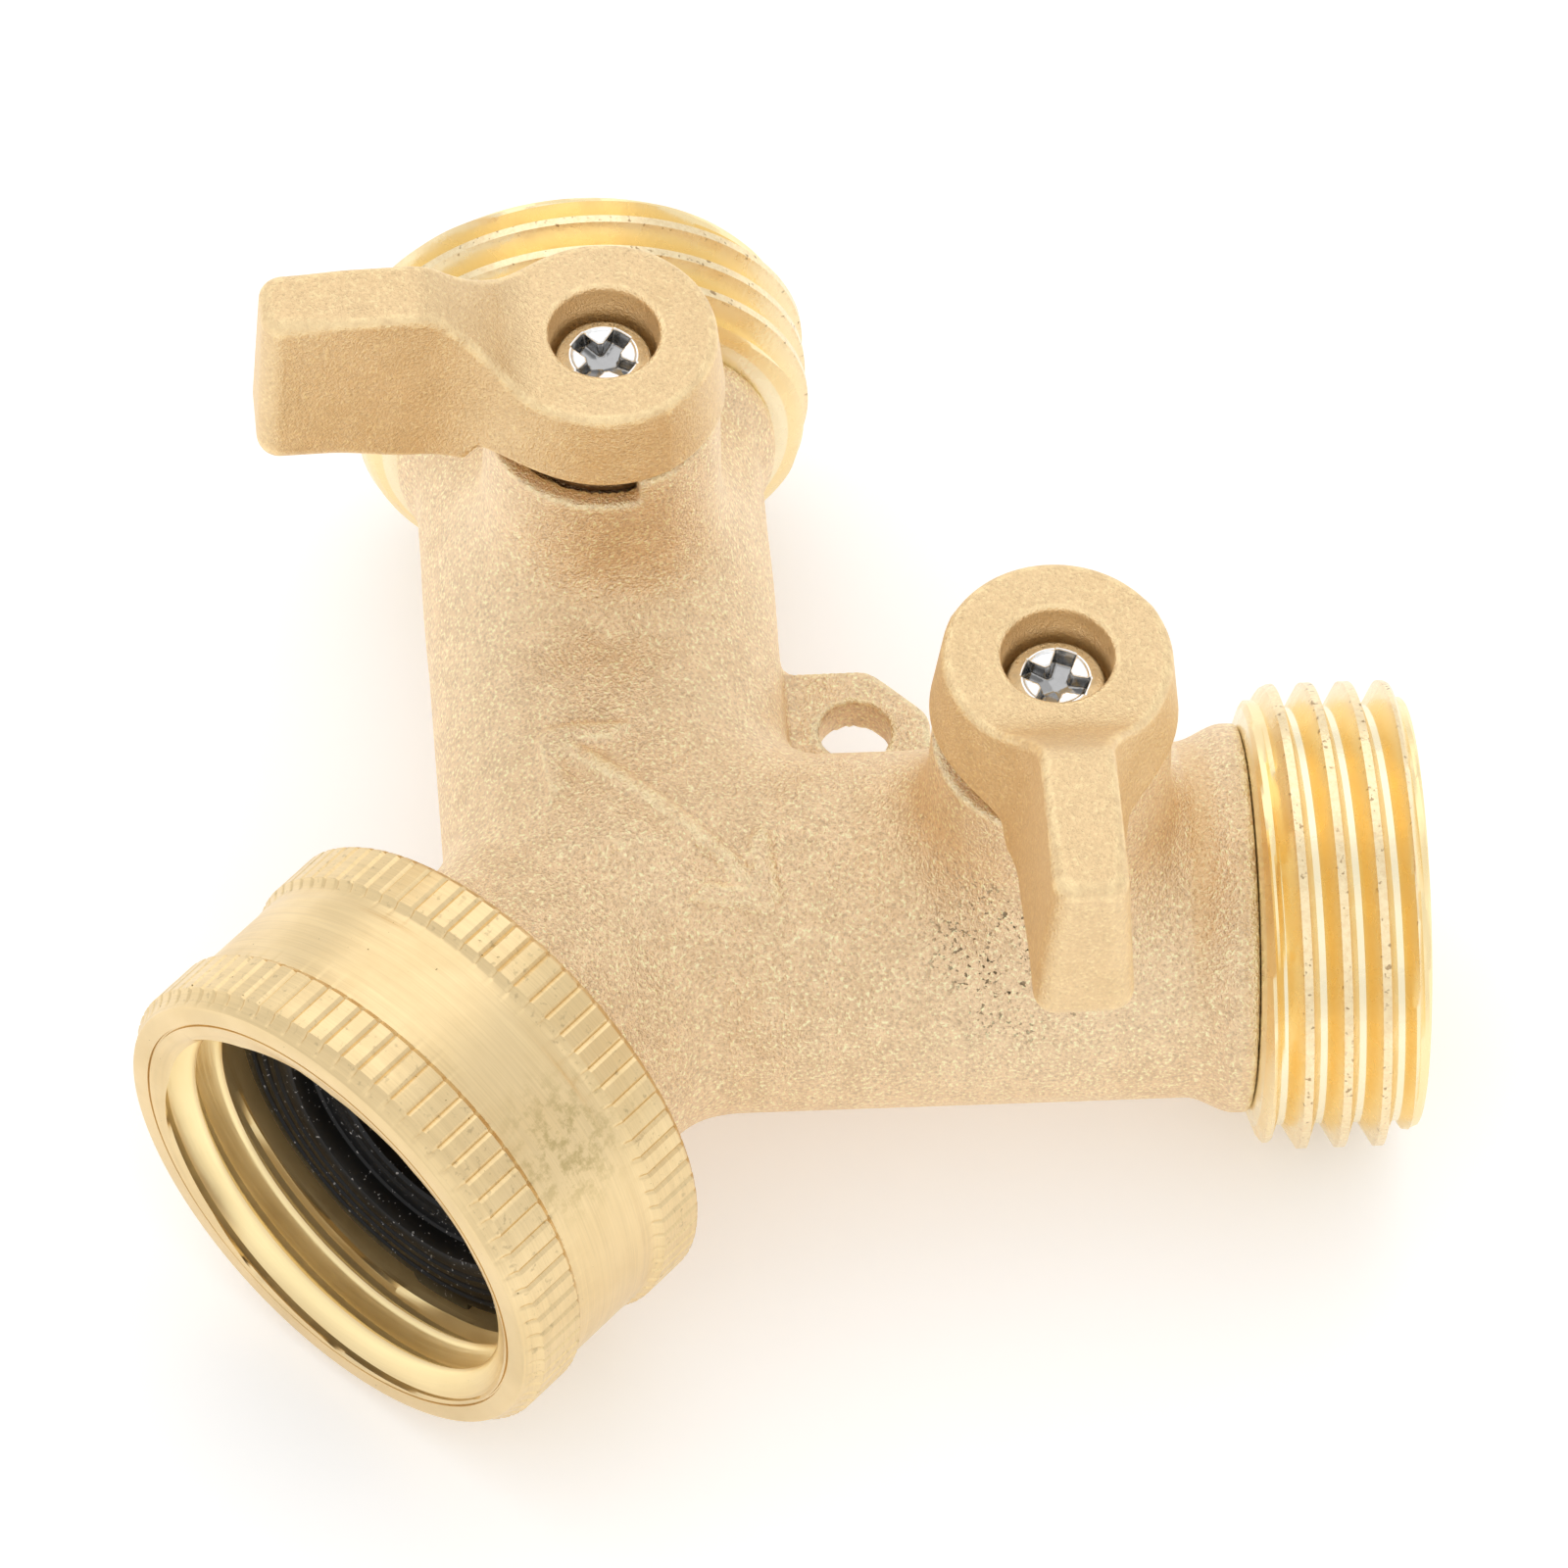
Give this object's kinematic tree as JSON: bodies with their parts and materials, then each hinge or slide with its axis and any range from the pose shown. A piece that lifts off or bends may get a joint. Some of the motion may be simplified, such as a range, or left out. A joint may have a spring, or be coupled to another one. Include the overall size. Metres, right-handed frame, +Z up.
{
  "type": "hose splitter",
  "caption": "Y-shaped garden hose splitter: swivel inlet nut, threaded outlet arms, each with a quarter-turn ball valve and lever handle.",
  "frame": {"origin": "on the inlet axis, at the plane where the swivel nut's internal thread starts, just inside its mouth", "axes": "-Y out of the inlet mouth, +Z up along the valve stems and through the hanging hole, +X towards the right outlet arm"},
  "size_m": [0.081, 0.0655, 0.0466],
  "materials": {
    "cast_brass": "sand-blasted casting, matte with fine grain",
    "cast_handle": "sand-blasted casting, satin gold, slightly darker than the body",
    "turned_brass": "turned, satin",
    "thread_brass": "turned, bright",
    "black_rubber": "moulded, dusty matte",
    "screw_plating": "nickel plated",
    "ball_plating": "polished",
    "spring_wire": "drawn wire",
    "white_ptfe": "waxy"
  },
  "bodies": {
    "splitter_body": {"cast_body": "cast_brass", "inlet_snap_ring": "spring_wire", "left_outlet_nipple": "thread_brass", "right_outlet_nipple": "thread_brass", "left_nipple_oring": "black_rubber", "right_nipple_oring": "black_rubber", "left_inner_seat": "white_ptfe", "right_inner_seat": "white_ptfe", "left_outer_seat": "white_ptfe", "right_outer_seat": "white_ptfe", "left_thrust_washer": "white_ptfe", "right_thrust_washer": "white_ptfe"},
    "inlet_nut": {"swivel_nut": "turned_brass", "inlet_washer": "black_rubber"},
    "left_valve": {"left_ball": "ball_plating", "left_stem": "turned_brass", "left_lower_stem_oring": "black_rubber", "left_upper_stem_oring": "black_rubber", "left_handle": "cast_handle", "left_handle_screw": "screw_plating"},
    "right_valve": {"right_ball": "ball_plating", "right_stem": "turned_brass", "right_lower_stem_oring": "black_rubber", "right_upper_stem_oring": "black_rubber", "right_handle": "cast_handle", "right_handle_screw": "screw_plating"}
  },
  "joints": [
    {"name": "inlet_nut_swivel", "type": "hinge", "parent": "splitter_body", "child": "inlet_nut", "pos_m": [0, 0.01, 0], "axis": [0, -1, 0], "continuous": true},
    {"name": "left_valve_turn", "type": "hinge", "parent": "splitter_body", "child": "left_valve", "pos_m": [-0.01679, 0.04084, 0.02], "axis": [0, 0, 1], "range_deg": [-4, 89]},
    {"name": "right_valve_turn", "type": "hinge", "parent": "splitter_body", "child": "right_valve", "pos_m": [0.01679, 0.04084, 0.02], "axis": [0, 0, -1], "range_deg": [-2, 91]}
  ]
}
